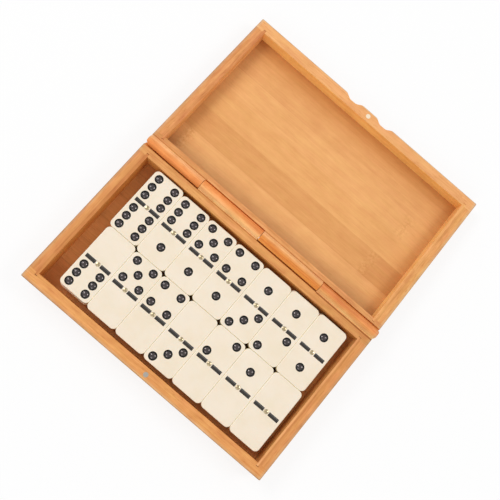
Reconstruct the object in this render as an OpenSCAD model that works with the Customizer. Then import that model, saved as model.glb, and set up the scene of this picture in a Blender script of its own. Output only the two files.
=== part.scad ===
/* [Dominoes] */
// Width of one domino.
tile_w = 24; // [20:0.1:28]
// Length of one domino.
tile_l = 48.5; // [46:0.5:56]
// Thickness of one domino.
tile_t = 7.3; // [6.3:0.1:8.5]
// Corner radius of a domino in plan.
tile_corner = 3.2; // [2:0.1:4]
// Rounding of the top and bottom edges of a domino.
tile_edge = 0.9; // [0.5:0.1:1.2]
// Gap between dominoes side by side.
tile_side_gap = 0.05; // [0.05:0.05:0.3]
// Gap between the two rows of dominoes, end to end.
tile_end_gap = 0.12; // [0.1:0.02:0.4]
// Sideways step of the back row against the front row.
back_row_shift = 1.08; // [0.6:0.02:1.4]

/* [Pips] */
// Diameter of a pip.
pip_d = 6; // [4.5:0.1:6.1]
// Depth of a pip at its centre.
pip_depth = 0.6; // [0.4:0.1:1]
// Sideways distance of the pip columns from the middle line.
pip_column = 6.8; // [6.2:0.1:7.4]
// Step between the pip rows of one half.
pip_row_step = 7; // [6.2:0.1:7.2]
// Distance of the middle pip row from the bar.
pip_middle = 12.6; // [12:0.1:13]
// Length of the bar across a domino.
bar_l = 20.1; // [16:0.1:20.5]
// Width of the bar groove.
bar_w = 2.7; // [1.6:0.1:3]
// Depth of the bar groove.
bar_depth = 0.6; // [0.4:0.1:1]
// Plain ring left around the spinner between the two bar halves.
bar_clear = 0.5; // [0.1:0.05:1]

/* [Spinners] */
// Diameter of the brass spinner's head.
spinner_d = 3.2; // [2.4:0.1:4]
// Height of the spinner's head above the domino.
spinner_rise = 0.36; // [0.2:0.02:0.5]
// Diameter of the spinner's shank.
shank_d = 1.4; // [1:0.1:1.8]
// Length of the spinner's shank in the domino.
shank_l = 3; // [2:0.5:4]
// Play of the spinner in the domino.
spinner_play = 0.02; // [0.01:0.01:0.05]

/* [Room Inside] */
// Finger gap at the left of the dominoes.
left_gap = 11.4; // [8:0.1:16]
// Gap at the right of the dominoes.
right_gap = 4.3; // [2.5:0.1:8]
// Gap in front of the dominoes.
front_gap = 3.27; // [2:0.01:6]
// Gap behind the dominoes.
back_gap = 2.41; // [2.3:0.01:6]
// Depth of the upper dominoes below the base's rim.
rim_above_tiles = 1.5; // [1:0.1:4]
// Hollow depth of the lid.
lid_depth = 9.5; // [6:0.5:20]

/* [Walls] */
// Thickness of the side rails and both front rails.
rail_t = 8; // [7:0.5:12]
// Thickness of the base's back wall with its hinge strip.
base_back_t = 8.2; // [7.8:0.1:12]
// Thickness of the lid's back wall with its hinge strip.
lid_back_t = 6; // [6:0.5:10]
// Thickness of the floor and of the lid's panel.
panel_t = 3.5; // [2.5:0.5:5]
// How far the panels reach under the rails.
panel_reach = 3; // [2:0.2:3.4]
// Bevel of the outer edges.
ease = 0.5; // [0.3:0.1:0.8]

/* [Corner Joints] */
// Thickness of the side rails' tongues.
tongue_t = 2; // [1.5:0.1:2.5]
// Length of the side rails' tongues.
tongue_l = 1.8; // [1.4:0.1:2.2]
// Room left beyond the end of a tongue.
tongue_room = 0.3; // [0.1:0.1:0.5]

/* [Hinge] */
// Distance of the hinge line behind the box's back face.
axis_out = 2; // [1.8:0.1:2.4]
// Radius of the wooden hinge barrels.
barrel_r = 3.65; // [3.2:0.05:3.8]
// Clearance between a barrel and the cove it turns in.
barrel_gap = 0.85; // [0.3:0.05:0.9]
// Length of the first barrel from the left, which is the lid's.
barrel_1_l = 46.5; // [40:0.5:52]
// Length of the second barrel, which is the base's.
barrel_2_l = 52; // [46:0.5:56]
// Length of the third barrel, which is the lid's; the fourth takes the rest.
barrel_3_l = 52; // [46:0.5:56]
// Room between the ends of two barrels.
knuckle_gap = 0.3; // [0.2:0.05:0.5]
// How far the barrels stand out past the box's sides.
barrel_past = 0.2; // [0:0.1:1.5]
// Sideways shift of all the barrels.
hinge_shift = 0.4; // [0:0.1:0.8]
// Rounding of the outer barrel ends.
barrel_round = 1.5; // [0.4:0.1:1.8]
// Length of the slanting cut on the free side of an outer barrel end.
barrel_cut_l = 2.6; // [1:0.1:4]
// Depth of that cut across the barrel.
barrel_cut_w = 1.8; // [0.8:0.1:1.8]
// Radius of the steel hinge pin.
pin_r = 1; // [0.75:0.05:1.25]
// Clearance of the pin in the lid's barrels.
pin_clear = 0.05; // [0.03:0.01:0.08]
// Depth of the pin's ends in the barrel ends.
pin_sunk = 1.2; // [0.5:0.1:2]
// Thickness of the base's hinge strip.
base_strip_t = 2.8; // [2.6:0.1:3]
// Thickness of the lid's hinge strip.
lid_strip_t = 2.8; // [2.6:0.1:3]
// Height of the hinge strips.
strip_h = 9; // [7:0.5:9]

/* [Magnets] */
// Diameter of the closing magnets.
magnet_d = 3.5; // [3:0.1:4.5]
// Thickness of the closing magnets.
magnet_t = 2; // [1.5:0.5:3]
// Sideways place of the magnets from the middle.
magnet_side = 1.2; // [-3:0.1:3]
// Distance of the magnets from the front face.
magnet_in = 3.8; // [3.5:0.1:4.2]
// How deep the magnets lie below the rim.
magnet_sunk = 0.1; // [0.05:0.05:0.3]

/* [Finger Coves] */
// Width of the bump between the two finger coves.
cove_bump = 10.4; // [8:0.2:16]
// Width of one finger cove.
cove_w = 17.2; // [12:0.2:20]
// Width of the flat bottom of a finger cove.
cove_flat = 3.4; // [2:0.2:7]
// Depth of a finger cove.
cove_depth = 2.9; // [1.5:0.1:3.2]

/* [Hidden] */
columns = 7;
// how far each upper column was pushed back, as it lies in the photo
column_push = [1.14, 0, -0.28, -0.48, -0.49, 0, 0.12];
// how far the last two lower dominoes of the back row were pushed back
lower_back_push = 1.6;
// how far the last lower domino of the front row was pushed aside
lower_side_push = 1.1;
tile_pitch = tile_w + tile_side_gap;
row_pitch = tile_l + tile_end_gap;
inner_w = left_gap + columns * tile_w + (columns - 1) * tile_side_gap + right_gap;
inner_d = front_gap + 2 * tile_l + tile_end_gap + back_gap;
box_w = inner_w + 2 * rail_t;
box_d = rail_t + inner_d + base_back_t;
half_w = box_w / 2;
front_y = -box_d / 2;
back_y = box_d / 2;
// an upper domino lies on the spinner's head of the lower one
upper_z = panel_t + tile_t + spinner_rise + 2 * spinner_play;
base_h = upper_z + tile_t + rim_above_tiles;
lid_h = lid_depth + panel_t;
axis_y = back_y + axis_out;
lid_reach = box_d + axis_out;
first_column_x = -inner_w / 2 + left_gap + tile_w / 2;
front_row_y = front_y + rail_t + front_gap + tile_l / 2;
// the open lid leans down until its far lower edge meets the table
edge_reach = lid_reach - ease;
droop = asin(base_h / norm([edge_reach, lid_h])) - atan2(lid_h, edge_reach);
cove_r = barrel_r + barrel_gap;
hinge_left = -half_w - barrel_past + hinge_shift;
hinge_right = half_w + barrel_past + hinge_shift;
knuckle_1 = hinge_left + barrel_1_l;
knuckle_2 = knuckle_1 + barrel_2_l;
knuckle_3 = knuckle_2 + barrel_3_l;
cove_start = cove_bump / 2;
cove_steps = 12;
through = 1;
// how far the coves run past the hinge's ends, so that they leave the strips too
hinge_ends = 2;
ivory = [0.93, 0.86, 0.75];
brass = [0.80, 0.64, 0.36];
bamboo = [0.88, 0.62, 0.36];
bamboo_dark = [0.60, 0.36, 0.19];
bamboo_lid = [0.88, 0.62, 0.38];
barrel_wood = [0.90, 0.58, 0.33];
steel = [0.70, 0.70, 0.72];
$fn = 64;

// half of a domino's section, from the corner's axis outwards
module corner_profile() {
    square([tile_corner - tile_edge, tile_t]);
    translate([0, tile_edge])
        square([tile_corner, tile_t - 2 * tile_edge]);
    for (y = [tile_edge, tile_t - tile_edge])
        translate([tile_corner - tile_edge, y])
            circle(r = tile_edge);
}

// a domino's section with its rounded edges
module tile_profile(width) {
    translate([-width / 2 + tile_edge, 0])
        square([width - 2 * tile_edge, tile_t]);
    translate([-width / 2, tile_edge])
        square([width, tile_t - 2 * tile_edge]);
    for (side = [-1, 1])
        for (y = [tile_edge, tile_t - tile_edge])
            translate([side * (width / 2 - tile_edge), y])
                circle(r = tile_edge);
}

// the plain domino: two crossing bars and four turned corners
module tile_blank() {
    long = tile_l - 2 * tile_corner;
    wide = tile_w - 2 * tile_corner;
    translate([0, long / 2, 0])
        rotate([90, 0, 0])
            linear_extrude(height = long)
                tile_profile(tile_w);
    rotate([0, 0, 90])
        translate([0, wide / 2, 0])
            rotate([90, 0, 0])
                linear_extrude(height = wide)
                    tile_profile(tile_l);
    for (quarter = [0 : 3])
        translate([(quarter == 0 || quarter == 3 ? wide : -wide) / 2, (quarter < 2 ? long : -long) / 2, 0])
            rotate([0, 0, 90 * quarter])
                rotate_extrude(angle = 90)
                    corner_profile();
}

// the cells of one half that hold a pip: column, row
function pip_cells(count) =
    count == 1 ? [[0, 0]] :
    count == 2 ? [[-1, -1], [1, 1]] :
    count == 3 ? [[-1, -1], [0, 0], [1, 1]] :
    count == 4 ? [[-1, -1], [1, -1], [-1, 1], [1, 1]] :
    count == 5 ? [[-1, -1], [1, -1], [0, 0], [-1, 1], [1, 1]] :
    count == 6 ? [[-1, -1], [1, -1], [-1, 0], [1, 0], [-1, 1], [1, 1]] : [];

// shallow round hollows of the pips of one half
module pips(count, side) {
    ball_r = (pow(pip_d / 2, 2) + pow(pip_depth, 2)) / (2 * pip_depth);
    for (cell = pip_cells(count))
        translate([cell[0] * pip_column,
                   side * pip_middle + cell[1] * pip_row_step,
                   tile_t - pip_depth + ball_r])
            sphere(r = ball_r);
}

// one half of the groove of the bar
module bar_half(side) {
    groove_r = (pow(bar_w / 2, 2) + pow(bar_depth, 2)) / (2 * bar_depth);
    start = spinner_d / 2 + bar_clear;
    long = bar_l / 2 - start;
    translate([side * (start + long / 2), 0, tile_t - bar_depth + groove_r])
        rotate([0, 90, 0])
            cylinder(h = long, r = groove_r, center = true);
}

// a finished domino: pips of its back half and of its front half
module tile(back_count, front_count) {
    difference() {
        tile_blank();
        pips(back_count, 1);
        pips(front_count, -1);
        bar_half(-1);
        bar_half(1);
        translate([0, 0, tile_t - shank_l])
            cylinder(h = shank_l + through, r = shank_d / 2);
    }
}

// the brass spinner: a low domed head on a shank
module spinner() {
    dome_r = (pow(spinner_d / 2, 2) + pow(spinner_rise, 2)) / (2 * spinner_rise);
    translate([0, 0, tile_t + spinner_play]) {
        intersection() {
            translate([0, 0, spinner_rise - dome_r])
                sphere(r = dome_r);
            cylinder(h = spinner_rise + through, r = spinner_d / 2);
        }
        translate([0, 0, -shank_l])
            cylinder(h = shank_l, r = shank_d / 2 - spinner_play);
    }
}

// how far the lower dominoes of a column lie off the plain grid
function lower_front(column) = min(0, column_push[column]);
function lower_back(column) = max(0, column_push[column], column >= columns - 2 ? lower_back_push : 0);

// places of the dominoes: row 0 at the front, row 1 at the hinge
function tile_x(row, column) = first_column_x + column * tile_pitch - row * back_row_shift;
function upper_place(row, column) =
    [tile_x(row, column), front_row_y + row * row_pitch + column_push[column], upper_z];
function lower_place(row, column) =
    [tile_x(row, column) + (row == 0 && column == columns - 1 ? lower_side_push : 0),
     front_row_y + row * row_pitch + (row == 0 ? lower_front(column) : lower_back(column)), panel_t];

module domino_6_0() {
    color(ivory)
        translate(upper_place(0, 0))
            tile(0, 6);
}

module domino_6_0_spinner() {
    color(brass)
        translate(upper_place(0, 0))
            spinner();
}

module domino_5_0() {
    color(ivory)
        translate(upper_place(0, 1))
            tile(5, 0);
}

module domino_5_0_spinner() {
    color(brass)
        translate(upper_place(0, 1))
            spinner();
}

module domino_4_0() {
    color(ivory)
        translate(upper_place(0, 2))
            tile(4, 0);
}

module domino_4_0_spinner() {
    color(brass)
        translate(upper_place(0, 2))
            spinner();
}

module domino_3_0() {
    color(ivory)
        translate(upper_place(0, 3))
            tile(0, 3);
}

module domino_3_0_spinner() {
    color(brass)
        translate(upper_place(0, 3))
            spinner();
}

module domino_2_0() {
    color(ivory)
        translate(upper_place(0, 4))
            tile(2, 0);
}

module domino_2_0_spinner() {
    color(brass)
        translate(upper_place(0, 4))
            spinner();
}

module domino_1_0() {
    color(ivory)
        translate(upper_place(0, 5))
            tile(1, 0);
}

module domino_1_0_spinner() {
    color(brass)
        translate(upper_place(0, 5))
            spinner();
}

module domino_0_0() {
    color(ivory)
        translate(upper_place(0, 6))
            tile(0, 0);
}

module domino_0_0_spinner() {
    color(brass)
        translate(upper_place(0, 6))
            spinner();
}

module domino_6_6() {
    color(ivory)
        translate(upper_place(1, 0))
            tile(6, 6);
}

module domino_6_6_spinner() {
    color(brass)
        translate(upper_place(1, 0))
            spinner();
}

module domino_6_1() {
    color(ivory)
        translate(upper_place(1, 1))
            tile(6, 1);
}

module domino_6_1_spinner() {
    color(brass)
        translate(upper_place(1, 1))
            spinner();
}

module domino_5_1() {
    color(ivory)
        translate(upper_place(1, 2))
            tile(5, 1);
}

module domino_5_1_spinner() {
    color(brass)
        translate(upper_place(1, 2))
            spinner();
}

module domino_4_1() {
    color(ivory)
        translate(upper_place(1, 3))
            tile(4, 1);
}

module domino_4_1_spinner() {
    color(brass)
        translate(upper_place(1, 3))
            spinner();
}

module domino_3_1() {
    color(ivory)
        translate(upper_place(1, 4))
            tile(1, 3);
}

module domino_3_1_spinner() {
    color(brass)
        translate(upper_place(1, 4))
            spinner();
}

module domino_2_1() {
    color(ivory)
        translate(upper_place(1, 5))
            tile(1, 2);
}

module domino_2_1_spinner() {
    color(brass)
        translate(upper_place(1, 5))
            spinner();
}

module domino_1_1() {
    color(ivory)
        translate(upper_place(1, 6))
            tile(1, 1);
}

module domino_1_1_spinner() {
    color(brass)
        translate(upper_place(1, 6))
            spinner();
}

module domino_6_5() {
    color(ivory)
        translate(lower_place(0, 0)) {
            tile(5, 6);
            spinner();
        }
}

module domino_6_4() {
    color(ivory)
        translate(lower_place(0, 1)) {
            tile(6, 4);
            spinner();
        }
}

module domino_6_3() {
    color(ivory)
        translate(lower_place(0, 2)) {
            tile(6, 3);
            spinner();
        }
}

module domino_6_2() {
    color(ivory)
        translate(lower_place(0, 3)) {
            tile(6, 2);
            spinner();
        }
}

module domino_5_5() {
    color(ivory)
        translate(lower_place(0, 4)) {
            tile(5, 5);
            spinner();
        }
}

module domino_5_4() {
    color(ivory)
        translate(lower_place(0, 5)) {
            tile(5, 4);
            spinner();
        }
}

module domino_5_3() {
    color(ivory)
        translate(lower_place(0, 6)) {
            tile(5, 3);
            spinner();
        }
}

module domino_5_2() {
    color(ivory)
        translate(lower_place(1, 0)) {
            tile(5, 2);
            spinner();
        }
}

module domino_4_4() {
    color(ivory)
        translate(lower_place(1, 1)) {
            tile(4, 4);
            spinner();
        }
}

module domino_4_3() {
    color(ivory)
        translate(lower_place(1, 2)) {
            tile(4, 3);
            spinner();
        }
}

module domino_4_2() {
    color(ivory)
        translate(lower_place(1, 3)) {
            tile(4, 2);
            spinner();
        }
}

module domino_3_3() {
    color(ivory)
        translate(lower_place(1, 4)) {
            tile(3, 3);
            spinner();
        }
}

module domino_3_2() {
    color(ivory)
        translate(lower_place(1, 5)) {
            tile(3, 2);
            spinner();
        }
}

module domino_2_2() {
    color(ivory)
        translate(lower_place(1, 6)) {
            tile(2, 2);
            spinner();
        }
}

// the outside of a tray with eased edges, from its front to its back
module eased_block(y_front, y_back, height) {
    deep = y_back - y_front;
    intersection() {
        translate([0, y_front, 0])
            linear_extrude(height = height)
                polygon([[-half_w + ease, 0], [half_w - ease, 0], [half_w, ease], [half_w, deep - ease],
                         [half_w - ease, deep], [-half_w + ease, deep], [-half_w, deep - ease],
                         [-half_w, ease]]);
        translate([0, y_back + through, 0])
            rotate([90, 0, 0])
                linear_extrude(height = deep + 2 * through)
                    polygon([[-half_w + ease, 0], [half_w - ease, 0], [half_w, ease], [half_w, height - ease],
                             [half_w - ease, height], [-half_w + ease, height], [-half_w, height - ease],
                             [-half_w, ease]]);
        translate([-half_w - through, 0, 0])
            rotate([90, 0, 90])
                linear_extrude(height = box_w + 2 * through)
                    polygon([[y_front + ease, 0], [y_back - ease, 0], [y_back, ease], [y_back, height],
                             [y_front + ease, height], [y_front, height - ease], [y_front, ease]]);
    }
}

// a block from its two opposite corners
module block(low, high) {
    translate(low)
        cube(high - low);
}

// the room for a panel, open at the bottom
module panel_room(y_front, y_back) {
    block([-inner_w / 2 - panel_reach, y_front - panel_reach, -through],
          [inner_w / 2 + panel_reach, y_back + panel_reach, panel_t]);
}

// the four slots that take the side rails' tongues
module tongue_slots(y_front, y_back, height) {
    long = tongue_l + tongue_room;
    for (side = [-1, 1])
        block([min(side * inner_w / 2, side * (inner_w / 2 + tongue_t)), y_front - long, 0],
              [max(side * inner_w / 2, side * (inner_w / 2 + tongue_t)), y_back + long, height + through]);
}

// a side rail between its end walls, with a tongue at each end
module side_rail(side, y_front, y_back, y_out_front, y_out_back, height) {
    inner = inner_w / 2;
    mirror([side < 0 ? 1 : 0, 0, 0])
        difference() {
            intersection() {
                eased_block(y_out_front, y_out_back, height);
                union() {
                    block([inner, y_front, 0], [half_w + through, y_back, height]);
                    block([inner, y_front - tongue_l, 0], [inner + tongue_t, y_back + tongue_l, height]);
                }
            }
            panel_room(y_front, y_back);
        }
}

base_in_front = front_y + rail_t;
base_in_back = back_y - base_back_t;

module base_front_rail() {
    color(bamboo)
        difference() {
            intersection() {
                eased_block(front_y, back_y, base_h);
                block([-half_w, front_y, 0], [half_w, base_in_front, base_h]);
            }
            panel_room(base_in_front, base_in_back);
            tongue_slots(base_in_front, base_in_back, base_h);
            magnet_pocket(front_y + magnet_in, base_h);
        }
}

module base_left_rail() {
    color(bamboo)
        side_rail(-1, base_in_front, base_in_back, front_y, back_y, base_h);
}

module base_right_rail() {
    color(bamboo)
        side_rail(1, base_in_front, base_in_back, front_y, back_y, base_h);
}

module base_back_rail() {
    color(bamboo)
        difference() {
            intersection() {
                eased_block(front_y, back_y, base_h);
                block([-half_w, base_in_back, 0], [half_w, back_y, base_h]);
            }
            panel_room(base_in_front, base_in_back);
            tongue_slots(base_in_front, base_in_back, base_h);
            block([-half_w - through, back_y - base_strip_t, base_h - strip_h],
                  [half_w + through, back_y + through, base_h + through]);
        }
}

module base_bottom_panel() {
    color(bamboo_dark)
        block([-inner_w / 2 - panel_reach, base_in_front - panel_reach, 0],
              [inner_w / 2 + panel_reach, base_in_back + panel_reach, panel_t]);
}

// a magnet's pocket in a rim
module magnet_pocket(y, rim_z) {
    translate([magnet_side, y, rim_z - magnet_t - magnet_sunk])
        cylinder(h = magnet_t + magnet_sunk + through, r = magnet_d / 2);
}

module magnet(y, rim_z) {
    translate([magnet_side, y, rim_z - magnet_t - magnet_sunk])
        cylinder(h = magnet_t, r = magnet_d / 2);
}

// one wooden barrel on the hinge line, rounded where it is an outer end
module barrel(x_low, x_high, round_low, round_high) {
    long = x_high - x_low;
    start = round_low ? barrel_round : 0;
    stop = long - (round_high ? barrel_round : 0);
    translate([x_low, axis_y, base_h])
        rotate([0, 90, 0])
            rotate_extrude() {
                square([barrel_r - barrel_round, long]);
                translate([0, start])
                    square([barrel_r, stop - start]);
                for (y = [start, stop])
                    if (y > 0 && y < long)
                        translate([barrel_r - barrel_round, y])
                            circle(r = barrel_round);
            }
}

// the corner taken off an outer barrel end, on the side of it that faces the other tray
module barrel_cut(x_end, inwards, free_side) {
    translate([x_end, axis_y + free_side * barrel_r, base_h - barrel_r - through])
        linear_extrude(height = 2 * (barrel_r + through))
            polygon([[-through * inwards, through * free_side],
                     [barrel_cut_l * inwards, through * free_side],
                     [barrel_cut_l * inwards, 0],
                     [0, -barrel_cut_w * free_side],
                     [-through * inwards, -barrel_cut_w * free_side]]);
}

// the round room around the hinge line over a stretch of it
module barrel_room(x_low, x_high, r) {
    translate([x_low, axis_y, base_h])
        rotate([0, 90, 0])
            cylinder(h = x_high - x_low, r = r);
}

module base_hinge_strip() {
    color(barrel_wood)
        difference() {
            union() {
                difference() {
                    intersection() {
                        eased_block(front_y, back_y, base_h);
                        block([-half_w, back_y - base_strip_t, base_h - strip_h], [half_w, back_y, base_h]);
                    }
                    barrel_room(hinge_left - hinge_ends, knuckle_1 + knuckle_gap / 2, cove_r);
                    barrel_room(knuckle_2 - knuckle_gap / 2, knuckle_3 + knuckle_gap / 2, cove_r);
                }
                barrel(knuckle_1 + knuckle_gap / 2, knuckle_2 - knuckle_gap / 2, false, false);
                barrel(knuckle_3 + knuckle_gap / 2, hinge_right, false, true);
            }
            barrel_room(hinge_left - through, hinge_right + through, pin_r);
            barrel_cut(hinge_right, -1, 1);
        }
}

module hinge_pin() {
    color(steel)
        barrel_room(hinge_left + pin_sunk, hinge_right - pin_sunk, pin_r);
}

module base_magnet() {
    color(steel)
        magnet(front_y + magnet_in, base_h);
}

// the lid is built open and level, its hollow up, and then leans down
lid_out_back = axis_y + axis_out;
lid_in_back = lid_out_back + lid_back_t;
lid_out_front = axis_y + lid_reach;
lid_in_front = lid_out_front - rail_t;

module lean() {
    translate([0, axis_y, base_h])
        rotate([-droop, 0, 0])
            translate([0, -axis_y, -base_h])
                children();
}

// lifts what was built on the ground so that its rim meets the hinge line
module raise() {
    translate([0, 0, base_h - lid_h])
        children();
}

// the tray helpers run from a low y to a high y: here the back wall is the low one
module lid_shell() {
    mirror([0, 1, 0])
        eased_block(-lid_out_front, -lid_out_back, lid_h);
}

module lid_side_rail(side) {
    mirror([0, 1, 0])
        side_rail(side, -lid_in_front, -lid_in_back, -lid_out_front, -lid_out_back, lid_h);
}

// depth of a finger cove at a distance from its middle
function cove_at(x) =
    abs(x) <= cove_flat / 2 ? cove_depth :
    cove_depth * (1 + cos(180 * (abs(x) - cove_flat / 2) / ((cove_w - cove_flat) / 2))) / 2;

function cove_x(step) = cove_flat / 2 + (cove_w - cove_flat) / 2 * step / cove_steps;

// one finger cove, cut through the full height of the lid's front rail
module finger_cove(side) {
    translate([side * (cove_start + cove_w / 2), lid_out_front, -through])
        linear_extrude(height = lid_h + 2 * through)
            polygon(concat([for (step = [cove_steps : -1 : 0]) [-cove_x(step), -cove_at(cove_x(step))]],
                           [for (step = [0 : cove_steps]) [cove_x(step), -cove_at(cove_x(step))]],
                           [[cove_w / 2, through], [-cove_w / 2, through]]));
}

module lid_front_rail() {
    color(bamboo_lid)
        lean()
            raise()
                difference() {
                    intersection() {
                        lid_shell();
                        block([-half_w, lid_in_front, 0], [half_w, lid_out_front, lid_h]);
                    }
                    panel_room(lid_in_back, lid_in_front);
                    tongue_slots(lid_in_back, lid_in_front, lid_h);
                    magnet_pocket(lid_out_front - magnet_in, lid_h);
                    finger_cove(-1);
                    finger_cove(1);
                }
}

module lid_left_rail() {
    color(bamboo_lid)
        lean()
            raise()
                lid_side_rail(-1);
}

module lid_right_rail() {
    color(bamboo_lid)
        lean()
            raise()
                lid_side_rail(1);
}

module lid_back_rail() {
    color(bamboo_lid)
        lean()
            raise()
                difference() {
                    intersection() {
                        lid_shell();
                        block([-half_w, lid_out_back, 0], [half_w, lid_in_back, lid_h]);
                    }
                    panel_room(lid_in_back, lid_in_front);
                    tongue_slots(lid_in_back, lid_in_front, lid_h);
                    block([-half_w - through, lid_out_back - through, lid_h - strip_h],
                          [half_w + through, lid_out_back + lid_strip_t, lid_h + through]);
                }
}

module lid_top_panel() {
    color(bamboo_lid)
        lean()
            raise()
                block([-inner_w / 2 - panel_reach, lid_in_back - panel_reach, 0],
                      [inner_w / 2 + panel_reach, lid_in_front + panel_reach, panel_t]);
}

module lid_hinge_strip() {
    color(barrel_wood)
        lean()
            difference() {
                union() {
                    difference() {
                        raise()
                            intersection() {
                                lid_shell();
                                block([-half_w, lid_out_back, lid_h - strip_h],
                                      [half_w, lid_out_back + lid_strip_t, lid_h]);
                            }
                        barrel_room(knuckle_1 - knuckle_gap / 2, knuckle_2 + knuckle_gap / 2, cove_r);
                        barrel_room(knuckle_3 - knuckle_gap / 2, hinge_right + hinge_ends, cove_r);
                    }
                    barrel(hinge_left, knuckle_1 - knuckle_gap / 2, true, false);
                    barrel(knuckle_2 + knuckle_gap / 2, knuckle_3 - knuckle_gap / 2, false, false);
                }
                barrel_room(hinge_left - through, hinge_right + through, pin_r + pin_clear);
                barrel_cut(hinge_left, 1, -1);
            }
}

module lid_magnet() {
    color(steel)
        lean()
            raise()
                magnet(lid_out_front - magnet_in, lid_h);
}

base_bottom_panel();
base_front_rail();
base_back_rail();
base_left_rail();
base_right_rail();
base_hinge_strip();
hinge_pin();
base_magnet();
lid_top_panel();
lid_front_rail();
lid_back_rail();
lid_left_rail();
lid_right_rail();
lid_hinge_strip();
lid_magnet();
domino_6_5();
domino_6_4();
domino_6_3();
domino_6_2();
domino_5_5();
domino_5_4();
domino_5_3();
domino_5_2();
domino_4_4();
domino_4_3();
domino_4_2();
domino_3_3();
domino_3_2();
domino_2_2();
domino_6_0();
domino_5_0();
domino_4_0();
domino_3_0();
domino_2_0();
domino_1_0();
domino_0_0();
domino_6_6();
domino_6_1();
domino_5_1();
domino_4_1();
domino_3_1();
domino_2_1();
domino_1_1();
domino_6_0_spinner();
domino_5_0_spinner();
domino_4_0_spinner();
domino_3_0_spinner();
domino_2_0_spinner();
domino_1_0_spinner();
domino_0_0_spinner();
domino_6_6_spinner();
domino_6_1_spinner();
domino_5_1_spinner();
domino_4_1_spinner();
domino_3_1_spinner();
domino_2_1_spinner();
domino_1_1_spinner();
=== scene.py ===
import math

import bmesh
import bpy
from mathutils import Matrix, Vector


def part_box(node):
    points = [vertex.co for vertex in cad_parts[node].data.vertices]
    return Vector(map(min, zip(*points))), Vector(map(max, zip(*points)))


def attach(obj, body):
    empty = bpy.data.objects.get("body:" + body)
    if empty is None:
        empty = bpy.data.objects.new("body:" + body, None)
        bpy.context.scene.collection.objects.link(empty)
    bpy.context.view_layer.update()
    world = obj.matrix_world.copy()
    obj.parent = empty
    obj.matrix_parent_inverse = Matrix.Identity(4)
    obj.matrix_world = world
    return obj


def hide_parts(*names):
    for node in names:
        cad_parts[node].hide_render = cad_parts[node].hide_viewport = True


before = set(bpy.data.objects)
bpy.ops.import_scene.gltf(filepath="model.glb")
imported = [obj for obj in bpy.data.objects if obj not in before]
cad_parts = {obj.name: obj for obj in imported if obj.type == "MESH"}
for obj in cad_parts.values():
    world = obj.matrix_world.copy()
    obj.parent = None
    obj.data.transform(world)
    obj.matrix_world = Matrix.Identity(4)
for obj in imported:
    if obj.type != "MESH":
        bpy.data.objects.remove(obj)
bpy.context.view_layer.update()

MM = 0.001
SCENE = bpy.context.scene

# sizes, in mm, the same as in the CAD source
TILE_W, TILE_L, TILE_T, TILE_CORNER = 24.0, 48.5, 7.3, 3.2
PIP_D, PIP_DEPTH, PIP_COLUMN, PIP_ROW, PIP_MIDDLE = 6.0, 0.6, 6.8, 7.0, 12.6
BAR_L, BAR_W, BAR_DEPTH, BAR_CLEAR = 20.1, 2.7, 0.6, 0.5
SPINNER_D, SPINNER_RISE, SPINNER_PLAY, SHANK_D = 3.2, 0.36, 0.02, 1.4
AXIS_Y, AXIS_Z, COVE_R = 61.5, 20.0, 4.5
# sizes of the scene's own, in mm: the round of a tile's edges (0.9 in the source), how deep a
# spinner's shank goes (3 in the source), how far the cutting forms stand above the face they cut,
# and how far the glossy dome of a pip reaches
TILE_EDGE = 0.7
SHANK_DOWN = 2.9
CUT_ABOVE = 1.0
DOME_R = 1.95


def srgb(r, g, b):
    """An sRGB colour of 0 to 255 as a linear colour."""
    def lin(c):
        c /= 255
        return c / 12.92 if c <= 0.04045 else ((c + 0.055) / 1.055) ** 2.4
    return (lin(r), lin(g), lin(b), 1.0)


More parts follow.
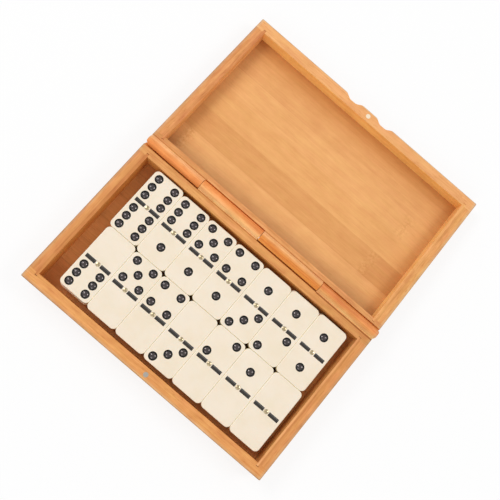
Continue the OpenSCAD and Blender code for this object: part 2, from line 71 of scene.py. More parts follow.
# node helpers
class Mat:
    """A material, its node tree and its shader, put together from short calls."""

    def __init__(self, name):
        self.material = bpy.data.materials.new(name)
        self.material.use_nodes = True
        self.tree = self.material.node_tree
        self.shader = self.tree.nodes["Principled BSDF"]

    def node(self, kind, **props):
        n = self.tree.nodes.new(kind)
        for k, v in props.items():
            setattr(n, k, v)
        return n

    def put(self, socket, value):
        """Give a socket a fixed value, or link another node's result to it."""
        if isinstance(value, bpy.types.NodeSocket):
            self.tree.links.new(value, socket)
        else:
            socket.default_value = value

    def finish(self, **values):
        """Set the shader's inputs: base_color=... is its Base Color."""
        for name, value in values.items():
            words = (w.upper() if w == "ior" else w.capitalize() for w in name.split("_"))
            self.put(self.shader.inputs[" ".join(words)], value)

    def math(self, op, a, b=0.0, c=0.0, clamp=False):
        n = self.node("ShaderNodeMath", operation=op, use_clamp=clamp)
        for s, v in zip(n.inputs, (a, b, c)):
            self.put(s, v)
        return n.outputs[0]

    def add(self, a, b):
        return self.math("ADD", a, b)

    def sub(self, a, b):
        return self.math("SUBTRACT", a, b)

    def mul(self, a, b):
        return self.math("MULTIPLY", a, b)

    def mul_add(self, a, b, c):
        return self.math("MULTIPLY_ADD", a, b, c)

    def size(self, a):
        """The number without its sign."""
        return self.math("ABSOLUTE", a)

    def step(self, value, start, stop, to_low=0.0, to_high=1.0):
        """From 0 at start to 1 at stop, smooth and held beyond both. start may be the greater.

        to_low and to_high take the place of 0 and 1.
        """
        if start > stop:
            start, stop, to_low, to_high = stop, start, to_high, to_low
        n = self.node("ShaderNodeMapRange", interpolation_type="SMOOTHSTEP", clamp=True)
        for k, v in (("Value", value), ("From Min", start), ("From Max", stop),
                     ("To Min", to_low), ("To Max", to_high)):
            self.put(n.inputs[k], v)
        return n.outputs["Result"]

    def between(self, value, low, high, out, within):
        """1 from low to high. Each limit is soft, from out beyond it to within inside it."""
        return self.mul(self.step(value, low - out, low + within),
                        self.step(value, high + out, high - within))

    def mix(self, fac, a, b, blend="MIX"):
        n = self.node("ShaderNodeMix", data_type="RGBA", blend_type=blend)
        self.put(n.inputs[0], fac)
        self.put(n.inputs[6], a)
        self.put(n.inputs[7], b)
        return n.outputs[2]

    def grey(self, value):
        n = self.node("ShaderNodeCombineColor")
        for s in n.inputs:
            self.put(s, value)
        return n.outputs[0]

    def noise(self, vector, scale, detail=2.0, rough=0.5):
        n = self.node("ShaderNodeTexNoise")
        self.put(n.inputs["Vector"], vector)
        self.put(n.inputs["Scale"], scale)
        self.put(n.inputs["Detail"], detail)
        self.put(n.inputs["Roughness"], rough)
        return n.outputs["Fac"]

    def white(self, vector):
        """A number of its own for each place, without any blur between them."""
        n = self.node("ShaderNodeTexWhiteNoise", noise_dimensions="3D")
        self.put(n.inputs["Vector"], vector)
        return n.outputs["Value"]

    def vec(self, x, y, z):
        n = self.node("ShaderNodeCombineXYZ")
        for s, v in zip(n.inputs, (x, y, z)):
            self.put(s, v)
        return n.outputs[0]

    def place_mm(self):
        """The point's place in mm in the shared frame, as three numbers."""
        tc = self.node("ShaderNodeTexCoord")
        s = self.node("ShaderNodeVectorMath", operation="SCALE")
        self.put(s.inputs[0], tc.outputs["Object"])
        self.put(s.inputs["Scale"], 1 / MM)
        x = self.node("ShaderNodeSeparateXYZ")
        self.put(x.inputs[0], s.outputs[0])
        return x.outputs[0], x.outputs[1], x.outputs[2]

    def normal(self):
        """The direction of the face, from the piece's own frame, as three numbers."""
        tc = self.node("ShaderNodeTexCoord")
        n = self.node("ShaderNodeSeparateXYZ")
        self.put(n.inputs[0], tc.outputs["Normal"])
        return n.outputs[0], n.outputs[1], n.outputs[2]

    def scaled(self, colour, k):
        """The colour with each channel scaled."""
        n = self.node("ShaderNodeVectorMath", operation="MULTIPLY")
        self.put(n.inputs[0], colour)
        self.put(n.inputs[1], k)
        return n.outputs[0]

    def ramp(self, value, stops):
        n = self.node("ShaderNodeValToRGB")
        self.put(n.inputs[0], value)
        e = n.color_ramp.elements
        while len(e) < len(stops):
            e.new(0.5)
        for item, (place, colour) in zip(e, stops):
            item.position = place
            item.color = colour
        return n.outputs[0]

    def bump(self, height, distance, strength):
        """Relief from a height of 0 to 1; distance is in mm."""
        n = self.node("ShaderNodeBump")
        self.put(n.inputs["Height"], height)
        n.inputs["Distance"].default_value = distance * MM
        n.inputs["Strength"].default_value = strength
        self.put(self.shader.inputs["Normal"], n.outputs[0])


# how the wood's tones, and the painted light and shade on it, differ from the colour around them,
# for red, green and blue
SPECK_DARK, SPECK_PALE = (0.74, 0.62, 0.46), (1.06, 1.12, 1.26)
MARK_DARK, MARK_PALE = (0.84, 0.76, 0.62), (1.07, 1.12, 1.20)
# SEAM and PLY_GLUE darken the joints; the middle one is painted shade in the gaps and creases beside
# the hinge barrels
SEAM, HINGE_GAP_SHADE, PLY_GLUE = (0.62, 0.52, 0.42), (0.55, 0.42, 0.24), (0.70, 0.62, 0.50)
# the first makes the outer edge of the top faces paler and greyer; the second is painted shade on the
# rounded edges
RIM_GREY, EDGE_SHADE = (0.93, 1.10, 1.45), (0.60, 0.56, 0.56)
# painted light: the hinge coves are painted a brighter, warmer orange for the bounce light in their
# gaps
COVE_BOUNCE_LIGHT = srgb(252, 168, 70)
# the fibres' mean tone, and how much faster green and blue fall than red where they darken
MEAN_TONE, GREEN_FALL, BLUE_FALL = 0.955, 1.6, 2.2
HUE_SPREAD = 0.28
# a barrel's tones reach over this many mm across it
BARREL_SPAN = 8.4


def barrel_tones(m, x, y, z, colour, seed, barrels):
    """The colour of a hinge strip: a ramp across each barrel, from the base's side to the lid's, with
    the barrel's light and shade painted into its tones.

    barrels holds (start, stops): a barrel's tones hold from start, in mm along the axis, onwards.
    """
    u = m.sub(y, AXIS_Y)
    sway = m.noise(m.vec(m.mul(x, 0.05), seed, 0.0), 1.0, 3.0, 0.6)
    u = m.add(u, m.mul_add(sway, 1.6, -0.8))
    col = None
    for start, stops in barrels:
        tone = m.ramp(m.mul_add(u, 1 / BARREL_SPAN, 0.5), stops)
        col = tone if col is None else m.mix(m.step(x, start - 0.05, start + 0.05), col, tone)
    off_y = m.sub(y, AXIS_Y)
    off_z = m.sub(z, AXIS_Z)
    col = m.mix(m.step(m.size(off_y), 3.9, 4.0), col, colour)
    # painted light: the cove that a barrel turns in is painted a brighter, warmer orange than the
    # faces, for the bounce light in its narrow gap
    away = m.math("SQRT", m.add(m.mul(off_y, off_y), m.mul(off_z, off_z)))
    deep = m.step(m.size(m.sub(away, COVE_R)), 0.06, 0.03)
    return m.mix(deep, col, COVE_BOUNCE_LIGHT)


def bamboo(name, colour, along, seed, contrast=1.0, fibre=1.5, strip=None, phase=0.0, tones=0.10,
           seam_dark=0.30, seam_w=0.35, strips=(), marks=(), band=None, lines=(), wall=None, dim=(),
           rim=(), edge_dark=0.0, barrels=()):
    """Bamboo: fibres along the piece in four sizes, lamellas with thin seams, soft joint marks.

    Places are in mm in the shared frame: run is one along the fibres, across one over them. Where a
    value gives an axis, it is "x", "y", or "side" for the distance from the middle, and the effect
    grows from the first place on it to the second.
    along: the axis that the fibres follow, X or Y.
    contrast, fibre: the strength of the broad fibres, and of the fine ones and the specks.
    strip, phase, tones: width of the lamellas, where one begins, how far their tones differ.
    seam_dark, seam_w: strength and half width of the seams between lamellas.
    strips: (low, high, tone, run), lamellas of a tone of their own from run onwards.
    marks: (run, low, high, strength), the mottled joints of lamellas.
    band: (end, colour, line, strength), the inner ply of a side rail and its glue line; the ply's
    colour is painted lighter on the right rails and darker on the left, as light from the left falls
    on it.
    lines: (low, high, least z, strength, first run, last run), dark lines along the piece, painted
    shade in the narrow gaps and creases beside the hinge barrels.
    wall: (axis, first, second, tone), painted light and shade on the upright faces inside the box:
    the tone makes them lighter, darker or more orange than the lamps leave them.
    dim: (axis, first, second, tone, power), a change of tone towards a wall, where the power says
    how much faster blue changes than red. Near the walls inside the box it is painted shade, where
    shade falls by the walls and in their corners.
    rim: (axis, first, second), a paler, greyer band along the outer edge of the top faces.
    edge_dark: strength of the painted shade on the rounded edges.
    barrels: the tones of the hinge barrels with their painted light and shade, as barrel_tones takes
    them.
    """
    m = Mat(name)
    x, y, z = m.place_mm()
    nz = m.normal()[2]
    run, across = (x, y) if along == "X" else (y, x)
    # a share of the height, so that the fibres show on upright faces too
    cross = m.add(across, m.mul(z, 0.37))
    base = barrel_tones(m, x, y, z, colour, seed, barrels) if barrels else colour

    def grain(per_run, per_cross, per_z, offset, detail, rough):
        place = m.vec(m.mul(run, per_run), m.mul(cross, per_cross), m.mul_add(z, per_z, seed + offset))
        return m.noise(place, 1.0, detail, rough)

    # fibres: streaks in several sizes, each darker and paler than the mean; the darker, the warmer
    fine = grain(0.03, 1.3, 1.2, 0.0, 4.0, 0.72)
    specks = grain(0.16, 2.6, 3.0, 3.0, 3.0, 0.65)
    streaks = ((fine, 0.34 * fibre),
               (grain(0.012, 0.36, 0.3, 7.0, 2.0, 0.5), 0.30 * contrast),
               (grain(0.06, 0.75, 0.6, 11.0, 3.0, 0.6), 0.28 * contrast),
               (grain(0.09, 0.16, 0.1, 5.0, 2.0, 0.5), 0.34 * contrast))
    tone = MEAN_TONE - 0.5 * sum(k for n, k in streaks)
    for n, k in streaks:
        tone = m.mul_add(n, k, tone)
    hue = m.mul_add(grain(0.07, 0.30, 0.2, 13.0, 2.0, 0.5), HUE_SPREAD * contrast,
                    1.0 - HUE_SPREAD / 2 * contrast)
    col = m.mix(1.0, base, m.vec(tone, m.mul(m.math("POWER", tone, GREEN_FALL), hue),
                                 m.math("POWER", tone, BLUE_FALL)), "MULTIPLY")
    col = m.mix(m.step(specks, 0.56, 0.72, 0.0, 0.7 * fibre), col, m.scaled(col, SPECK_DARK))
    col = m.mix(m.step(specks, 0.44, 0.30, 0.0, 0.5 * fibre), col, m.scaled(col, SPECK_PALE))
    height = m.sub(fine, m.mul(m.step(specks, 0.56, 0.74), 0.5))

    if strip:
        at = m.math("DIVIDE", m.sub(across, phase), strip)
        index = m.math("FLOOR", at)
        within = m.sub(at, index)
        shade = m.white(m.vec(index, seed, 1.5))
        col = m.mix(1.0, col, m.grey(m.mul_add(shade, tones, 1.0 - tones / 2)), "MULTIPLY")
        edge = m.math("MINIMUM", within, m.sub(1.0, within))
        seam = m.step(edge, 0.0, seam_w / strip, 1.0, 0.0)
        col = m.mix(m.mul(seam, seam_dark), col, m.scaled(col, SEAM))
        height = m.sub(height, m.mul(seam, 0.8))
    for low, high, k, from_run in strips:
        inside = m.mul(m.between(across, low, high, 0.3, 0.3), m.step(run, from_run, from_run + 8.0))
        col = m.mix(inside, col, m.scaled(col, k))
    for at_run, low, high, strength in marks:
        wobble = m.mul_add(m.noise(m.vec(across, seed, 0.0), 0.25), 5.0, at_run - 2.5)
        off = m.size(m.sub(run, wobble))
        inside = m.between(across, low, high, 0.4, 0.6)
        mottle = m.noise(m.vec(m.mul(run, 0.45), m.mul(across, 0.55), seed), 1.0, 3.0, 0.65)
        near = m.mul(m.step(off, 6.5, 1.0), inside)
        for start, stop, k in ((0.46, 0.60, MARK_DARK), (0.50, 0.36, MARK_PALE)):
            amount = m.mul(m.mul(m.step(mottle, start, stop), near), strength)
            col = m.mix(amount, col, m.scaled(col, k))
    places = {"x": x, "y": y, "side": m.size(x)}
    # painted light and shade: the inner ply is lighter on the right rails and darker on the left, as
    # light from the left falls on it; the line is its glue joint
    if band is not None:
        end, inner_colour, line_at, strength = band
        side = places["side"]
        col = m.mix(m.step(side, end + 0.4, end - 0.4), col,
                    m.scaled(col, tuple(a / b for a, b in zip(inner_colour[:3], colour[:3]))))
        line = m.step(m.size(m.sub(side, line_at)), 0.9, 0.1, 0.0, strength)
        col = m.mix(line, col, m.scaled(col, PLY_GLUE))
    # painted shade in the narrow gaps and creases beside the hinge barrels
    for low, high, least_z, strength, first, last in lines:
        on = m.mul(m.between(across, low, high, 0.1, 0.1), m.step(z, least_z - 0.7, least_z - 0.4))
        on = m.mul(on, m.between(run, first, last, 0.0, 1.0))
        col = m.mix(m.mul(on, strength), col, m.scaled(col, HINGE_GAP_SHADE))
    # painted light and shade on the upright faces inside the box
    if wall is not None:
        axis, first, second, k = wall
        inner = m.mul(m.step(m.size(nz), 0.6, 0.3), m.step(places[axis], first, second))
        col = m.mix(inner, col, m.scaled(col, k))
    # painted shade: darker towards the walls, where shade falls by them
    # all but the faces that look down
    not_under = m.step(nz, -0.5, 0.0) if dim else None
    for axis, first, second, k, power in dim:
        red = m.mul_add(m.step(places[axis], first, second, 0.0, k - 1.0), not_under, 1.0)
        green = m.math("POWER", red, 0.6 + 0.4 * power)
        col = m.mix(1.0, col, m.vec(red, green, m.math("POWER", red, power)), "MULTIPLY")
    # paler and greyer towards the outer edge of the top faces
    for axis, first, second in rim:
        on = m.mul(m.step(places[axis], first, second), m.step(nz, 0.3, 0.6))
        col = m.mix(on, col, m.scaled(col, RIM_GREY))
    # painted shade: the rounded edges are darkened
    if edge_dark:
        on_edge = m.mul(m.step(nz, 0.3, 0.45), m.step(nz, 0.95, 0.8))
        col = m.mix(m.mul(on_edge, edge_dark), col, m.scaled(col, EDGE_SHADE))
    m.finish(base_color=col, roughness=m.mul_add(specks, 0.15, 0.5), specular_ior_level=0.3)
    m.bump(height, 0.06, 0.5)
    return m.material


def plain(name, colour, rough, metal=0.0, wear=0.08, scale=900.0, coat=0.0, coat_ior=1.5, level=0.5,
          tint=(1.0, 1.0, 1.0, 1.0)):
    """A smooth finish with a little unevenness in colour and gloss."""
    m = Mat(name)
    tc = m.node("ShaderNodeTexCoord")
    n = m.noise(tc.outputs["Object"], scale, 3.0, 0.6)
    worn = tuple(c * (1 - wear) for c in colour[:3]) + (1.0,)
    m.finish(base_color=m.mix(m.step(n, 0.3, 0.7), colour, worn),
             roughness=m.mul_add(n, 0.12, rough - 0.06), metallic=metal, specular_ior_level=level,
             specular_tint=tint, coat_weight=coat, coat_roughness=0.1, coat_ior=coat_ior)
    return m.material


def ivory():
    """Cast resin: faint clouds and a soft inner glow; a painted highlight makes the rounded edges
    paler.
    """
    m = Mat("ivory")
    tc = m.node("ShaderNodeTexCoord")
    cloud = m.noise(tc.outputs["Object"], 60.0, 3.0, 0.6)
    haze = m.noise(tc.outputs["Object"], 1400.0, 2.0, 0.5)
    col = m.mix(m.step(cloud, 0.35, 0.7), srgb(243, 229, 209), srgb(240, 225, 201))
    nz = m.normal()[2]
    # painted highlight: the rounded edges are paler than the faces; the sides are painted warmer and
    # paler, which lightens the shade in the grooves between tiles
    col = m.mix(m.step(nz, 0.99, 0.80), col, srgb(250, 238, 217))
    col = m.mix(m.step(nz, 0.75, 0.35), col, srgb(255, 240, 208))
    m.finish(base_color=col, roughness=m.mul_add(haze, 0.12, 0.24), subsurface_weight=0.2,
             subsurface_radius=(0.0012, 0.0015, 0.0018), subsurface_scale=1.0,
             specular_ior_level=0.45)
    m.bump(haze, 0.01, 0.3)
    return m.material


# mesh helpers
def new_object(name, bm, materials, body, smooth=True):
    me = bpy.data.meshes.new(name)
    bm.to_mesh(me)
    bm.free()
    for mat in materials:
        me.materials.append(mat)
    for p in me.polygons:
        p.use_smooth = smooth
    ob = bpy.data.objects.new(name, me)
    SCENE.collection.objects.link(ob)
    if body:
        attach(ob, body)
    return ob


def rounded_outline(w, l, r, steps):
    """The points of a rectangle with round corners, steps to a corner."""
    pts = []
    for cx, cy, a0 in ((1, 1, 0), (-1, 1, 90), (-1, -1, 180), (1, -1, 270)):
        for k in range(steps + 1):
            a = math.radians(a0 + 90 * k / steps)
            pts.append((cx * (w / 2 - r) + r * math.cos(a), cy * (l / 2 - r) + r * math.sin(a)))
    return pts


def join_loops(bm, a, b):
    """A row of four-sided faces between two closed loops of as many points."""
    for k in range(len(a)):
        j = (k + 1) % len(a)
        bm.faces.new((a[k], a[j], b[j], b[k]))


def slab(bm, w, l, t, corner, edge, steps=10, rings=6):
    """A slab with round corners and round top and bottom edges."""
    levels = []
    for k in range(rings + 1):
        a = math.radians(90 * k / rings)
        levels.append((edge * (1 - math.sin(a)), edge * (1 - math.cos(a))))
    profile = levels + [(inset, t - z) for inset, z in reversed(levels)]
    loops = []
    for inset, z in profile:
        outline = rounded_outline(w - 2 * inset, l - 2 * inset, corner - inset, steps)
        loops.append([bm.verts.new((x * MM, y * MM, z * MM)) for x, y in outline])
    for a, b in zip(loops, loops[1:]):
        join_loops(bm, a, b)
    bm.faces.new(list(reversed(loops[0])))
    bm.faces.new(loops[-1])


def lathe(bm, profile, centre, steps):
    """A closed turned form: profile is (radius, height) from the axis round to the axis, in mm."""
    rings = []
    for r, h in profile:
        if r < 1e-6:
            rings.append([bm.verts.new(Vector((0, 0, h)) * MM + centre)])
            continue
        ring = []
        for k in range(steps):
            a = 2 * math.pi * k / steps
            ring.append(bm.verts.new(Vector((r * math.cos(a), r * math.sin(a), h)) * MM + centre))
        rings.append(ring)
    for a, b in zip(rings, rings[1:]):
        if len(a) == len(b):
            join_loops(bm, a, b)
            continue
        for k in range(steps):
            j = (k + 1) % steps
            bm.faces.new((a[0], b[j], b[k]) if len(a) == 1 else (a[k], a[j], b[0]))


# the slots of a domino's materials after its first, the ivory, and the places of each count's pips
BAR, SHINE, DULL = 1, 2, 3
PIPS = {0: (), 1: ((0, 0),), 2: ((-1, -1), (1, 1)), 3: ((-1, -1), (0, 0), (1, 1)),
        4: ((-1, -1), (1, -1), (-1, 1), (1, 1)), 5: ((-1, -1), (1, -1), (0, 0), (-1, 1), (1, 1)),
        6: ((-1, -1), (1, -1), (-1, 0), (1, 0), (-1, 1), (1, 1))}
# a pip's hollow: shares of its radius and depth, from its middle out to its rim
HOLLOW = ((0.0, 0.20), (0.12, 0.21), (0.24, 0.26), (0.34, 0.34), (0.42, 0.465), (0.50, 0.65),
          (0.57, 0.865), (0.63, 0.98), (0.70, 1.0), (0.80, 0.985), (0.87, 0.88), (0.94, 0.55),
          (0.975, 0.25), (1.0, 0.0))


def pip_cutter(bm, x, y):
    """A turned hollow: a dome in its middle, then a round valley and a steep wall up to the rim."""
    r = PIP_D / 2
    pts = [(q * r, -h * PIP_DEPTH) for q, h in HOLLOW]
    pts += [(r + 0.05, 0.05), (r + 0.05, CUT_ABOVE), (0.0, CUT_ABOVE)]
    before = set(bm.faces)
    lathe(bm, pts, Vector((x, y, TILE_T)) * MM, steps=36)
    for f in set(bm.faces) - before:
        out = max(math.hypot(v.co.x / MM - x, v.co.y / MM - y) for v in f.verts)
        shines = out < DOME_R and f.calc_center_median().z < TILE_T * MM
        f.material_index = SHINE if shines else DULL


def bar_cutter(bm, side):
    """Half of the bar: a groove of round section with blunt ends."""
    d = BAR_DEPTH
    r = ((BAR_W / 2) ** 2 + d * d) / (2 * d)
    x0, x1 = SPINNER_D / 2 + BAR_CLEAR, BAR_L / 2
    half = math.asin((BAR_W / 2) / r)
    section = [(r * math.sin(a), r - d - r * math.cos(a))
               for a in [half * (k / 6 - 1) for k in range(13)]]
    section += [(BAR_W / 2, CUT_ABOVE), (-BAR_W / 2, CUT_ABOVE)]
    a, b = [[bm.verts.new(Vector((side * x, y, TILE_T + z)) * MM) for y, z in section]
            for x in (x0, x1)]
    join_loops(bm, a, b)
    bm.faces.new(list(reversed(a)))
    bm.faces.new(b)
    bmesh.ops.recalc_face_normals(bm, faces=bm.faces)


def apply_modifiers(ob):
    dg = bpy.context.evaluated_depsgraph_get()
    me = bpy.data.meshes.new_from_object(ob.evaluated_get(dg))
    old = ob.data
    ob.modifiers.clear()
    ob.data = me
    bpy.data.meshes.remove(old)


def domino(node, counts, centre, mats):
    """A domino with lacquered hollow pips and bar. counts: back half, front half."""
    bm = bmesh.new()
    slab(bm, TILE_W, TILE_L, TILE_T, TILE_CORNER, TILE_EDGE)
    # a domino's body has its node's name
    ob = new_object(node + "_tile", bm, mats, node)
    cut = bmesh.new()
    for side in (-1, 1):
        bar_cutter(cut, side)
    for f in cut.faces:
        f.material_index = BAR
    for count, side in zip(counts, (1, -1)):
        for cx, cy in PIPS[count]:
            pip_cutter(cut, cx * PIP_COLUMN, side * PIP_MIDDLE + cy * PIP_ROW)
    bmesh.ops.recalc_face_normals(cut, faces=cut.faces)
    cutter = new_object(node + "_cut", cut, mats, None)
    mod = ob.modifiers.new("pips", "BOOLEAN")
    mod.operation = "DIFFERENCE"
    mod.solver = "EXACT"
    mod.object = cutter
    apply_modifiers(ob)
    bpy.data.objects.remove(cutter)
    ob.data.transform(Matrix.Translation(Vector(centre) * MM))
    ob.data.set_sharp_from_angle(angle=math.radians(32))
    w = ob.modifiers.new("normals", "WEIGHTED_NORMAL")
    w.keep_sharp = True
    apply_modifiers(ob)
    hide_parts(node)


def spinner_piece(domino_node, cad_node, centre, mat):
    """A brass rivet head: low dome, thin rim and its shank. cad_node holds its solid."""
    bm = bmesh.new()
    r, h = SPINNER_D / 2, SPINNER_RISE
    shank_r = SHANK_D / 2 - SPINNER_PLAY
    dome = (r * r + h * h) / (2 * h)
    pts = [(0.0, -SHANK_DOWN), (shank_r, -SHANK_DOWN), (shank_r, 0.0), (r - 0.08, 0.0), (r, 0.05)]
    for k in range(11, -1, -1):
        q = r * k / 12
        pts.append((q, h - dome + math.sqrt(dome * dome - q * q)))
    lathe(bm, pts, Vector((0, 0, TILE_T + SPINNER_PLAY)) * MM + Vector(centre) * MM, steps=32)
    bmesh.ops.recalc_face_normals(bm, faces=bm.faces)
    ob = new_object(domino_node + "_spinner_head", bm, [mat], domino_node)
    ob.data.set_sharp_from_angle(angle=math.radians(40))
    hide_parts(cad_node)


def centre_of(node):
    """The middle of the node's underside, in mm."""
    lo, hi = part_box(node)
    return ((lo[0] + hi[0]) / 2 / MM, (lo[1] + hi[1]) / 2 / MM, lo[2] / MM)


# materials
IVORY = ivory()
BLACK = plain("black_lacquer", srgb(44, 37, 30), 0.17, wear=0.2, scale=500.0, coat=0.4)
BLACK_SHINE = plain("black_lacquer_dome", srgb(22, 15, 14), 0.14, wear=0.2, scale=500.0, coat=0.55,
                    coat_ior=1.6, level=1.0, tint=(1.0, 0.84, 0.84, 1.0))
BLACK_DULL = plain("black_lacquer_hollow", srgb(16, 13, 10), 0.3, wear=0.2, scale=500.0, level=0.3)
BRASS = plain("brass", srgb(208, 189, 153), 0.28, metal=1.0, wear=0.2, scale=1200.0)
STEEL = plain("steel", srgb(207, 199, 187), 0.32, metal=0.9, wear=0.18, scale=1500.0)
# partly painted reflection: the lid's plated magnet has a near-white, mostly non-metal finish that
# paints in the bright reflection of its plating
NICKEL_AND_SHINE = plain("nickel", srgb(255, 236, 206), 0.30, metal=0.15, wear=0.06, scale=1500.0)

# tones and places that several wooden pieces share; a strip from WHOLE on has its tone all along
# painted light: the upright faces inside the box are tinted orange for the bounce light from the wood
WALL_BOUNCE_TINT = (1.0, 1.0, 0.80)
SIDE_WALL = ("side", 97.0, 96.0)
SIDE_RIM = ("side", 97.6, 99.0)
WHOLE = -120.0
EVERY_X = (-101.0, 101.0)
RIGHT_BARREL = (50.7, 101.0)
# painted light and shade: each ramp makes one flank of a barrel paler and the other darker and more
# orange, as light falls on a round barrel
BASE_BARREL_SHADING = ((-101.0, ((0.06, srgb(255, 207, 143)), (0.22, srgb(253, 188, 120)),
                          (0.36, srgb(252, 180, 111)), (0.50, srgb(249, 166, 95)),
                          (0.63, srgb(242, 153, 83)), (0.93, srgb(248, 153, 81)))),
                (-1.3, ((0.08, srgb(253, 200, 132)), (0.22, srgb(240, 172, 103)),
                        (0.34, srgb(234, 156, 87)), (0.52, srgb(225, 137, 74)),
                        (0.70, srgb(227, 142, 80)), (0.92, srgb(214, 127, 62)))))
LID_BARREL_SHADING = ((-101.0, ((0.06, srgb(222, 134, 66)), (0.30, srgb(244, 150, 78)),
                         (0.52, srgb(247, 163, 94)), (0.74, srgb(252, 181, 122)),
                         (0.92, srgb(253, 191, 128)))),
               (-30.0, ((0.06, srgb(255, 176, 88)), (0.22, srgb(232, 137, 56)),
                        (0.34, srgb(239, 146, 66)), (0.46, srgb(229, 145, 72)),
                        (0.68, srgb(250, 182, 119)), (0.92, srgb(247, 188, 130)))))
WOOD = {
    "base_front_rail": bamboo(
        "wood_base_front", srgb(232, 161, 93), "X", 1.0, strip=4.0, phase=-59.5, tones=0.05,
        seam_dark=0.12, wall=("y", -57.5, -56.5, WALL_BOUNCE_TINT), rim=(("y", -57.1, -58.5), SIDE_RIM),
        edge_dark=0.7),
    "base_back_rail": bamboo(
        "wood_base_back", srgb(225, 159, 93), "X", 2.0, wall=("y", 56.0, 55.0, WALL_BOUNCE_TINT),
        lines=((56.3, 56.8, 20.0, 1.0) + RIGHT_BARREL,), dim=(("x", 48.0, 66.0, 0.89, 1.8),),
        rim=(SIDE_RIM,), edge_dark=0.5),
    "base_left_rail": bamboo(
        "wood_base_left", srgb(222, 150, 87), "Y", 3.0, wall=SIDE_WALL + (WALL_BOUNCE_TINT,),
        band=(94.3, srgb(209, 136, 74), 94.3, 0.15), rim=(SIDE_RIM,), edge_dark=0.7),
    "base_right_rail": bamboo(
        "wood_base_right", srgb(223, 152, 87), "Y", 4.0, wall=SIDE_WALL + ((0.86, 0.86, 0.72),),
        band=(93.2, srgb(233, 165, 103), 93.9, 0.5), rim=(SIDE_RIM,), edge_dark=0.3),
    "base_bottom_panel": bamboo(
        "wood_base_floor", srgb(216, 146, 82), "X", 5.0, contrast=0.5, fibre=1.2, strip=19.25,
        phase=4.0, seam_dark=0.45, seam_w=0.6, strips=((-53.75, -34.5, (0.93, 0.87, 0.82), WHOLE),),
        dim=(("y", 10.0, 45.0, 0.82, 1.6), ("y", -10.0, -50.0, 1.06, 2.5))),
    "base_hinge_strip": bamboo(
        "wood_base_hinge", srgb(226, 157, 92), "X", 6.0, rim=(SIDE_RIM,), barrels=BASE_BARREL_SHADING,
        lines=((56.6, 57.25, 20.0, 0.9) + EVERY_X, (56.6, 57.25, 20.0, 0.5) + RIGHT_BARREL)),
    "lid_front_rail": bamboo(
        "wood_lid_front", srgb(243, 177, 114), "X", 7.0, contrast=0.6,
        wall=("y", 175.8, 175.2, (1.19, 1.38, 1.1)), dim=(("x", 0.0, 60.0, 0.94, 1.8),),
        rim=(("y", 180.9, 181.9), SIDE_RIM), edge_dark=0.6),
    "lid_back_rail": bamboo(
        "wood_lid_back", srgb(230, 162, 99), "X", 8.0, wall=("y", 67.0, 68.0, WALL_BOUNCE_TINT),
        dim=(("side", 46.0, 70.0, 0.93, 2.0),), rim=(SIDE_RIM,), edge_dark=0.4),
    "lid_left_rail": bamboo(
        "wood_lid_left", srgb(228, 156, 94), "Y", 9.0, wall=SIDE_WALL + ((1.20, 1.48, 1.48),),
        band=(94.3, srgb(219, 144, 85), 94.3, 0.15), rim=(SIDE_RIM,), edge_dark=0.6),
    "lid_right_rail": bamboo(
        "wood_lid_right", srgb(231, 163, 96), "Y", 10.0, wall=SIDE_WALL + ((1.22, 1.50, 1.55),),
        band=(93.6, srgb(239, 170, 104), 94.6, 0.3), rim=(SIDE_RIM,), edge_dark=0.1),
    "lid_top_panel": bamboo(
        "wood_lid_panel", srgb(239, 176, 111), "X", 11.0, contrast=0.42, fibre=0.4, strip=18.9,
        phase=89.4, tones=0.02, seam_dark=0.12,
        strips=((89.4, 108.2, (0.89, 0.84, 0.77), WHOLE), (89.4, 108.2, (0.93, 0.88, 0.84), 66.0),
                (108.2, 127.2, (0.975, 0.965, 0.93), WHOLE),
                (146.0, 165.4, (0.96, 0.93, 0.92), WHOLE),
                # this strip is simply darker from y 165.4 out to the far wall
                (165.4, 180.0, (0.88, 0.83, 0.76), WHOLE)),
        marks=((72.0, 127.4, 146.0, 0.45), (67.0, 89.6, 108.2, 0.5), (-84.0, 70.0, 89.2, 0.7)),
        dim=(("x", -74.0, -92.0, 0.77, 1.6), ("x", 76.0, 92.0, 0.88, 1.8),
             ("x", 30.0, 70.0, 0.955, 1.8), ("y", 146.0, 176.0, 0.82, 2.2),
             ("y", 85.0, 69.0, 0.70, 1.0))),
    "lid_hinge_strip": bamboo(
        "wood_lid_hinge", srgb(226, 158, 94), "X", 12.0, rim=(SIDE_RIM,), barrels=LID_BARREL_SHADING,
        lines=((65.55, 66.05, 20.0, 0.7) + EVERY_X,)),
}
METAL = {"hinge_pin": STEEL, "base_magnet": STEEL, "lid_magnet": NICKEL_AND_SHINE}
for node, mat in (*WOOD.items(), *METAL.items()):
    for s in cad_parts[node].material_slots:
        s.material = mat

# the dominoes, by the counts of their back and front halves
UPPER_FRONT = ((0, 6), (5, 0), (4, 0), (0, 3), (2, 0), (1, 0), (0, 0))
UPPER_BACK = ((6, 6), (6, 1), (5, 1), (4, 1), (1, 3), (1, 2), (1, 1))
LOWER = ((5, 6), (6, 4), (6, 3), (6, 2), (5, 5), (5, 4), (5, 3), (5, 2), (4, 4), (4, 3), (4, 2),
         (3, 3), (3, 2), (2, 2))
for counts in UPPER_FRONT + UPPER_BACK + LOWER:
    node = "domino_%d_%d" % (max(counts), min(counts))
    centre = centre_of(node)
    domino(node, counts, centre, (IVORY, BLACK, BLACK_SHINE, BLACK_DULL))
    # the spinner of a lower domino is a second solid in its domino's node
    spinner_piece(node, node if counts in LOWER else node + "_spinner", centre, BRASS)

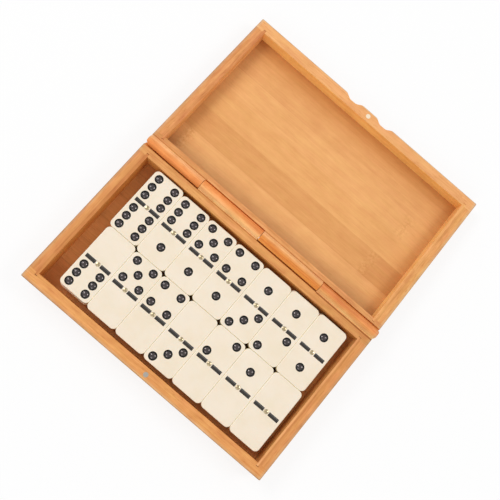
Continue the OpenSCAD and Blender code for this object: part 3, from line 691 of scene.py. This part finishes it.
# the floor: most of what is seen of it is plain white, and the rest holds the object's shadow
FLOOR_HALF, FLOOR_DROP, FLOOR_WHITE = 3.0, 0.0002, 0.8
bm = bmesh.new()
bmesh.ops.create_grid(bm, x_segments=1, y_segments=1, size=FLOOR_HALF)
floor = new_object("floor", bm, [], None, smooth=False)
fm = Mat("floor_white")
fm.finish(base_color=(0.93, 0.93, 0.93, 1.0), roughness=0.9, specular_ior_level=0.0)
ray = fm.node("ShaderNodeLightPath").outputs
seen = fm.add(ray["Is Glossy Ray"], ray["Is Transmission Ray"])
seen = fm.math("ADD", ray["Is Camera Ray"], seen, clamp=True)
white = fm.node("ShaderNodeEmission")
blend = fm.node("ShaderNodeMixShader")
fm.put(blend.inputs[0], fm.mul(seen, FLOOR_WHITE))
fm.put(blend.inputs[1], fm.shader.outputs[0])
fm.put(blend.inputs[2], white.outputs[0])
fm.put(fm.tree.nodes["Material Output"].inputs["Surface"], blend.outputs[0])
floor.data.materials.append(fm.material)
floor.location = (0, 0, -FLOOR_DROP)

# light
TARGET = Vector((0, 0.06, 0))
for name, place, size, power in (("key", (-1.1, 0.2, 1.35), 0.56, 7.4),
                                 ("side", (1.0, 0.8, 1.3), 0.54, 6.2),
                                 ("fill", (0.1, -1.3, 1.2), 0.9, 4.2)):
    light = bpy.data.lights.new(name, "AREA")
    light.size = size
    light.energy = power
    ob = bpy.data.objects.new(name, light)
    ob.location = place
    ob.rotation_euler = (TARGET - Vector(place)).to_track_quat("-Z", "Y").to_euler()
    SCENE.collection.objects.link(ob)
WORLD_LEVEL = 0.64
world = bpy.data.worlds.new("studio")
world.use_nodes = True
world.node_tree.nodes["Background"].inputs[0].default_value = (1.0, 1.0, 1.0, 1.0)
world.node_tree.nodes["Background"].inputs[1].default_value = WORLD_LEVEL
SCENE.world = world
SCENE.view_settings.view_transform = "Standard"

# the camera found from the photo: turn vector and shift, in mm, of the middle of the front rim
TURN = Vector((2.78481663, 1.03659925, 0.105237662))
SHIFT = Vector((-69.5508837, 81.2134296, 443.749644))
RIM_ORIGIN = Vector((0.0, -59.5, 20.0))
FOCAL_PX, FRAME_PX, SENSOR = 700.0, 500.0, 36.0
rot = Matrix.Rotation(TURN.length, 3, TURN.normalized())
place = (rot.transposed() @ -SHIFT + RIM_ORIGIN) * MM
right, down, ahead = (Vector(rot[k]) for k in range(3))
cam = bpy.data.cameras.new("camera")
cam.sensor_width = SENSOR
cam.lens = FOCAL_PX / FRAME_PX * SENSOR
cam.clip_start, cam.clip_end = 0.01, 20.0
cam_ob = bpy.data.objects.new("camera", cam)
cam_ob.matrix_world = Matrix.Translation(place) @ Matrix((right, -down, -ahead)).transposed().to_4x4()
SCENE.collection.objects.link(cam_ob)
SCENE.camera = cam_ob
